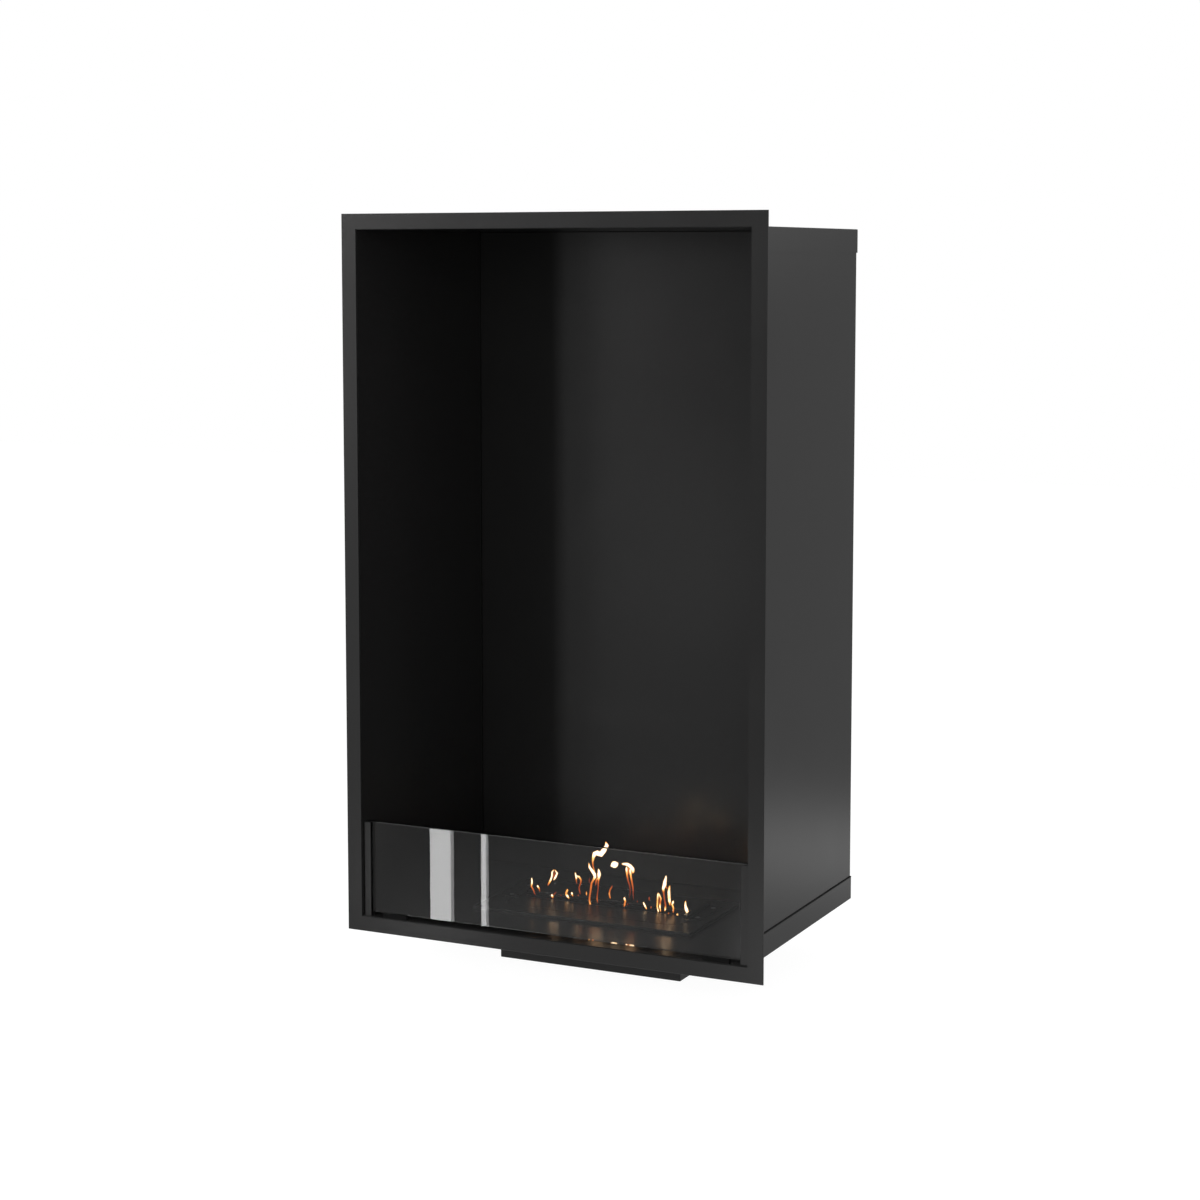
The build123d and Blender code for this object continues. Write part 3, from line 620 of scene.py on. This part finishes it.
def flame_shell(name, grow, material):
    """All the strands in one shell, grown or shrunk by a part of a square."""
    mesh = bmesh.new()
    heat_layer = mesh.verts.layers.float.new("gas_heat")
    for y, strands in FLAMES.values():
        for points in strands:
            add_strand(mesh, heat_layer, y, points, grow)
    bmesh.ops.recalc_face_normals(mesh, faces=mesh.faces[:])
    piece = piece_from(name, mesh, material)
    piece.data.shade_smooth()
    rounding = piece.modifiers.new("rounding", "SUBSURF")
    rounding.levels = ROUNDING_STEPS
    rounding.render_levels = ROUNDING_STEPS
    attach(piece, "burner")
    print(name, "faces before rounding:", len(piece.data.polygons))
    return piece


# %% [markdown]
# Real flames have no skin, but two shells inside each other come close: an orange veil that one can see
# through, and a core that runs from dull red over orange and yellow to near white, by its heat. At the rim
# of a strand only the veil shows, and in the middle both. The veil is a little wider than the strands, and
# the core a good deal narrower, both by a part of a square.

# %% The glow of hot gas
FLICKER_SIZE = 4 * MM
FLICKER = 0.16


def glow(name, colours, strength, thin, thick):
    """A glowing gas: black in itself, all its colour is light of its own, and cool gas is thinner."""
    material, shader = new_material(name)
    heat = shader.node("ShaderNodeAttribute", {"attribute_name": "gas_heat"}, None, "Fac")
    flicker = grains(shader, surface_place(shader), FLICKER_SIZE)
    share = heat + flicker * FLICKER - FLICKER / 2
    gas = {"Base Color": grey(0.0), "Roughness": 1.0, "Specular IOR Level": 0.0}
    gas["Emission Strength"] = strength
    gas["Emission Color"] = shader.node("ShaderNodeValToRGB", {"stops": colours}, {0: share})
    gas["Alpha"] = thin + share * (thick - thin)
    finish_with(shader, shader.node("ShaderNodeBsdfPrincipled", None, gas))
    return material


RIM_COLOURS = [(0.0, (0.05, 0.006, 0.002, 1)), (0.4, (0.35, 0.05, 0.008, 1)), (1.0, (1.0, 0.36, 0.04, 1))]
CORE_COLOURS = [(0.0, (0.03, 0.005, 0.002, 1)), (0.3, (0.12, 0.014, 0.004, 1)), (0.55, (0.32, 0.07, 0.01, 1)),
                (0.78, (0.8, 0.38, 0.1, 1)), (0.95, (1.0, 0.86, 0.6, 1))]
VEIL = glow("flame_veil_orange", RIM_COLOURS, strength=1.0, thin=0.1, thick=0.4)
CORE = glow("flame_core_hot", CORE_COLOURS, strength=3.2, thin=0.4, thick=1.0)
flame_veil = flame_shell("flame_veil", grow=0.05, material=VEIL)
flame_core = flame_shell("flame_core", grow=-0.35, material=CORE)

# %% [markdown]
# Each shell gets a mesh of its own.

# %% Give each shell a mesh of its own
for shell in (flame_veil, flame_core):
    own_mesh(shell)

# %% [markdown]
# ## The camera
#
# The photograph was taken from the front right and from a little below the top of the box, with a lens
# long enough to keep the sides nearly parallel. The place and the turn come from the corners of the box in
# the photograph. The shift moves the picture up or down on the film without tilting the camera.

# %% Camera
CAMERA_PLACE = (1.1718, -2.461, 0.7917)
CAMERA_YAW = 25.683
CAMERA_PITCH = -5.70
CAMERA_LENS = 73.353
CAMERA_SENSOR = 36.0
CAMERA_SHIFT = -0.08

camera_data = bpy.data.cameras.new("camera")
camera_data.sensor_width = CAMERA_SENSOR
camera_data.lens = CAMERA_LENS
camera_data.shift_y = CAMERA_SHIFT
camera = bpy.data.objects.new("camera", camera_data)
camera.location = CAMERA_PLACE
camera.rotation_euler = (math.radians(90 + CAMERA_PITCH), 0.0, math.radians(CAMERA_YAW))
scene.collection.objects.link(camera)
scene.camera = camera
body_middle = (body_low + body_high) / 2
print("camera stands", round((Vector(CAMERA_PLACE) - body_middle).length, 2), "m away")

# %% [markdown]
# ## The white background
#
# The background is white paper. The world is white where the camera, a mirror or a pane looks at it, and
# its light on the object is softer than that.

# %% World
AMBIENT = 0.60

world = bpy.data.worlds.new("studio")
scene.world = world
world.use_nodes = True
world.node_tree.nodes.clear()


def looked_at(shader):
    """One where the camera looks, or a mirror or a pane does, and nought where light is gathered."""
    path = shader.node("ShaderNodeLightPath", None, None, "Is Camera Ray").socket.node
    kinds = ("Is Camera Ray", "Is Glossy Ray", "Is Transmission Ray")
    seen = [Value(shader.tree, path.outputs[kind]) for kind in kinds]
    return seen[0].larger(seen[1]).larger(seen[2])


sky = Value(world.node_tree)
level = AMBIENT + looked_at(sky) * (1.0 - AMBIENT)
backdrop = sky.node("ShaderNodeBackground", None, {"Color": WHITE, "Strength": level})
sky.node("ShaderNodeOutputWorld", None, {"Surface": backdrop})
print("the world's light on the object:", AMBIENT, "of white")

# %% [markdown]
# ## The floor
#
# The floor is the same paper. It glows a little under the camera's eye, so that it meets the background
# without a line, and it still takes a soft shadow. It is hidden from reflections and from what is seen
# through the glass, where it would lie over the pane as a white haze. The cards of the next step take its
# place there.

# %% Floor
FLOOR_HALF = 6.0
FLOOR_PAPER = 0.32
FLOOR_SHARE = 0.5
FLOOR_GLOW = 1.9
FIBRE_SIZE = 30 * MM
FIBRE_CONTRAST = 0.01


def stage_piece(name, mesh, material):
    """Turns a bmesh into an object, as piece_from does; the floor, the cards and the strips are made with it.
    """
    piece = piece_from(name, mesh, material)
    return piece


def paper(name):
    """White paper: it lights the object as paper does, and to the eye it glows a little as well."""
    material, shader = new_material(name)
    fibre = grains(shader, surface_place(shader), FIBRE_SIZE)
    tone = between(shader, fibre, grey(FLOOR_PAPER - FIBRE_CONTRAST), grey(FLOOR_PAPER + FIBRE_CONTRAST))
    matt = shader.node("ShaderNodeBsdfDiffuse", None, {"Color": tone})
    light = shader.node("ShaderNodeEmission", None, {"Color": WHITE, "Strength": FLOOR_GLOW})
    share = looked_at(shader) * FLOOR_SHARE
    finish_with(shader, shader.node("ShaderNodeMixShader", None, {0: share, 1: matt, 2: light}))
    return material


floor_mesh = bmesh.new()
bmesh.ops.create_grid(floor_mesh, x_segments=1, y_segments=1, size=FLOOR_HALF)
floor = stage_piece("floor", floor_mesh, paper("floor_paper"))
floor.visible_glossy = False
floor.visible_transmission = False
print("floor:", FLOOR_HALF * 2, "m wide")

# %% [markdown]
# ## Cards that only gloss and glass can see
#
# A black object shows its surroundings more than its own colour. So a tent of glowing cards stands round
# the fireplace, seen by its gloss and its glass alone. The plain cards close the tent all round, in a few
# greys. The soft cards hang just inside it, fade towards their rims, and add the slow gradients that make a
# satin face look like metal: three up high for the top of the frame, columns for its uprights and the back
# wall, a wide low one for the grey that lies in the glass, smaller low ones for the frame's foot, and
# behind on the right a band and two patches, which the side panel shows as a pale streak and a sheen.
#
# Each card is placed by its direction from the fireplace: degrees to the left of straight ahead, degrees
# up, how wide and high it looks from there, and how bright it is.

# %% Cards by direction
PLAIN_CARDS = {
    # name: (left, up, width, height, level)
    "front": (0, 0, 140, 80, 0.04),
    "left": (125, 0, 110, 80, 0.25),
    "right": (-90, 0, 40, 80, 0.30),
    "right_rear": (-125, 0, 30, 80, 1.06),
    "rear": (-160, 0, 40, 80, 0.26),
    "above": (0, 65, 360, 50, 0.80),
    "below": (0, -65, 360, 50, 0.70),
}
SOFT_CARDS = {
    # name: (left, up, width, height, level)
    "high_left": (38, 14, 18, 18, 2.40),
    "high_middle": (28, 14, 20, 16, 0.70),
    "high_right": (10, 14, 20, 16, 0.70),
    "column_left": (34, -4, 14, 34, 0.50),
    "column_foot": (40, -16, 16, 22, 0.50),
    "column_left_top": (35, 4, 15, 18, 0.80),
    "column_right": (22, -8, 12, 24, 0.65),
    "low_wide": (27, -24, 64, 23, 0.30),
    "low_middle": (24, -31, 18, 14, 0.40),
    "low_right": (7, -24.5, 20, 17, 2.40),
    "side_band": (-153, -20.2, 28, 6.5, 0.69),
    "side_low": (-153, -25, 30, 8, 0.05),
    "side_top": (-145, 16, 24, 22, 0.75),
}

# %% [markdown]
# A plain card glows evenly. A soft card fades to nothing, so that no rim of it can show in the paint, and
# its glow is added to that of the card behind it. Both are hidden from the rays that gather light, so they
# neither light the fireplace nor throw a shadow on it, and gloss and light can be set apart.

# %% Finishes of the cards
def card_material(name, level):
    """A card that glows evenly."""
    material, shader = new_material(name)
    finish_with(shader, shader.node("ShaderNodeEmission", None, {"Color": WHITE, "Strength": level}))
    return material


def soft_card_material(name, level):
    """A card whose glow fades from its middle to nothing at its rim, and adds to what is behind it."""
    material, shader = new_material(name)
    spread = shader.node("ShaderNodeTexCoord", None, None, "UV")
    to_middle = {"Vector": spread, "Location": (-1, -1, 0), "Scale": (2, 2, 1)}
    spread = shader.node("ShaderNodeMapping", None, to_middle)
    fade = shader.node("ShaderNodeTexGradient", {"gradient_type": "SPHERICAL"}, {"Vector": spread}, "Fac")
    fade = shader.node("ShaderNodeValToRGB", None, {0: fade})
    fade.socket.node.color_ramp.interpolation = "EASE"
    light = shader.node("ShaderNodeEmission", None, {"Color": fade, "Strength": level})
    clear = shader.node("ShaderNodeBsdfTransparent")
    finish_with(shader, shader.node("ShaderNodeAddShader", None, {0: light, 1: clear}))
    return material


def only_in_gloss(card):
    """Hides a card from all but gloss and glass."""
    card.visible_camera = False
    card.visible_diffuse = False
    card.visible_volume_scatter = False
    card.visible_shadow = False


# %% [markdown]
# A card starts as a flat grid, whose corners are then pushed out to one distance from the middle of the
# fireplace. So it is a piece of a sphere, and looks as wide and as high as its row of the table says. Each
# soft card hangs a centimetre nearer than the one before it, so that no two of them cross.

# %% Hang the cards
TENT_CENTRE = Vector((0.0, 0.0, 0.44))
CARD_DISTANCE = 2.6
SOFT_CARD_DISTANCE = 2.4
SOFT_CARD_STEP = 10 * MM
CARD_CELL = 10
LEAST_CELLS = 4


def direction(left, up):
    """The way that is so many degrees to the left of straight ahead, and so many up."""
    azimuth, climb = math.radians(left), math.radians(up)
    flat = math.cos(climb)
    return Vector((-math.sin(azimuth) * flat, -math.cos(azimuth) * flat, math.sin(climb)))


def card(name, row, finish, distance):
    """A card from a row of a table, in cells of about ten degrees."""
    left, up, width, height, level = row
    rows = max(LEAST_CELLS, round(height / CARD_CELL))
    columns = max(LEAST_CELLS, round(width / CARD_CELL))
    mesh = bmesh.new()
    mesh.loops.layers.uv.new("UVMap")
    bmesh.ops.create_grid(mesh, x_segments=columns, y_segments=rows, size=0.5, calc_uvs=True)
    for vert in mesh.verts:
        way = direction(left + vert.co.x * width, up + vert.co.y * height)
        vert.co = TENT_CENTRE + way * distance
    only_in_gloss(stage_piece("card_" + name, mesh, finish("card_" + name, level)))


for name, row in PLAIN_CARDS.items():
    card(name, row, card_material, CARD_DISTANCE)
for index, (name, row) in enumerate(SOFT_CARDS.items()):
    card(name, row, soft_card_material, SOFT_CARD_DISTANCE - index * SOFT_CARD_STEP)
print("cards:", len(PLAIN_CARDS), "plain and", len(SOFT_CARDS), "soft")

# %% [markdown]
# ## Key lamp and fill lamp
#
# The light itself comes from two lamps. The key lamp is a narrow softbox that stands on the floor, a little
# over twenty degrees to the left of straight ahead. It is narrow so that the frame's left bar throws an
# upright edge of shadow on the back wall, and tall so that nothing throws a level one. A broad and weak
# fill lamp on the right opens up that shadow. The gloss doesn't show the lamps, as it has its cards.

# %% Key lamp and fill lamp
KEY_LEVEL = 66.0
KEY_SIZE = (0.20, 1.72)
KEY_PLACE = Vector((-1.29, -2.96, 0.86))
FILL_LEVEL = 2.8
FILL_SIZE = (1.2, 1.4)
FILL_PLACE = Vector((1.7, -2.3, 0.86))


def softbox(name, place, size, level):
    """An upright area lamp that faces the fireplace and whose face is as bright as `level`."""
    data = bpy.data.lights.new(name, "AREA")
    data.shape = "RECTANGLE"
    data.size, data.size_y = size
    data.energy = math.pi * size[0] * size[1] * level
    lamp = bpy.data.objects.new(name, data)
    lamp.location = place
    towards = Vector((TENT_CENTRE.x - place.x, TENT_CENTRE.y - place.y, 0.0))
    lamp.rotation_euler = towards.to_track_quat("-Z", "Y").to_euler()
    lamp.visible_glossy = False
    scene.collection.objects.link(lamp)
    print(name, "lamp power:", round(data.energy, 1), "W")


softbox("key", KEY_PLACE, KEY_SIZE, KEY_LEVEL)
softbox("fill", FILL_PLACE, FILL_SIZE, FILL_LEVEL)

# %% [markdown]
# ## Strip lights in the glass
#
# Two strip lamps stand in front of the fireplace, each with a dimmer edge, and the glass shows them as
# upright white bars. In the steel they are lost, because satin paint blurs them away. They hang below the
# floor's level, because the camera looks down on the pane, and a pane mirrors what lies lower than itself.
# Only the pane's front face shows them: they are hidden from rays that have been through the glass.

# %% Strip lamps
STRIP_AHEAD = 1.5
STRIP_LEVEL = 10.6
STRIP_MIDDLE = -0.324
STRIP_HALF_HEIGHT = 0.089
STRIPS = {
    # name: (from, to, share of the level), with the places across the front
    "wide": (-1.0055, -0.9625, 1.0),
    "wide_edge": (-0.9625, -0.9560, 0.4),
    "narrow": (-0.8995, -0.8895, 1.0),
    "narrow_edge": (-0.8895, -0.8845, 0.4),
}


def strip(name, x_from, x_to, level):
    """An upright strip between two places across the front."""
    mesh = bmesh.new()
    middle = Vector(((x_from + x_to) / 2, glass_low.y - STRIP_AHEAD, STRIP_MIDDLE))
    stand = Matrix.Translation(middle) @ Matrix.Rotation(math.radians(90), 4, "X")
    size = Matrix.Diagonal(((x_to - x_from) / 2, STRIP_HALF_HEIGHT, 1.0, 1.0))
    bmesh.ops.create_grid(mesh, x_segments=1, y_segments=1, size=1.0, matrix=stand @ size)
    piece = stage_piece("strip_" + name, mesh, card_material("strip_" + name, level))
    only_in_gloss(piece)
    piece.visible_transmission = False


for name, (x_from, x_to, share) in STRIPS.items():
    strip(name, x_from, x_to, STRIP_LEVEL * share)
print("strips:", len(STRIPS), "at", STRIP_AHEAD, "m in front of the pane")

# %% [markdown]
# ## The last settings
#
# The colours are shown as they are, with the Standard view.

# %% View
scene.view_settings.view_transform = "Standard"
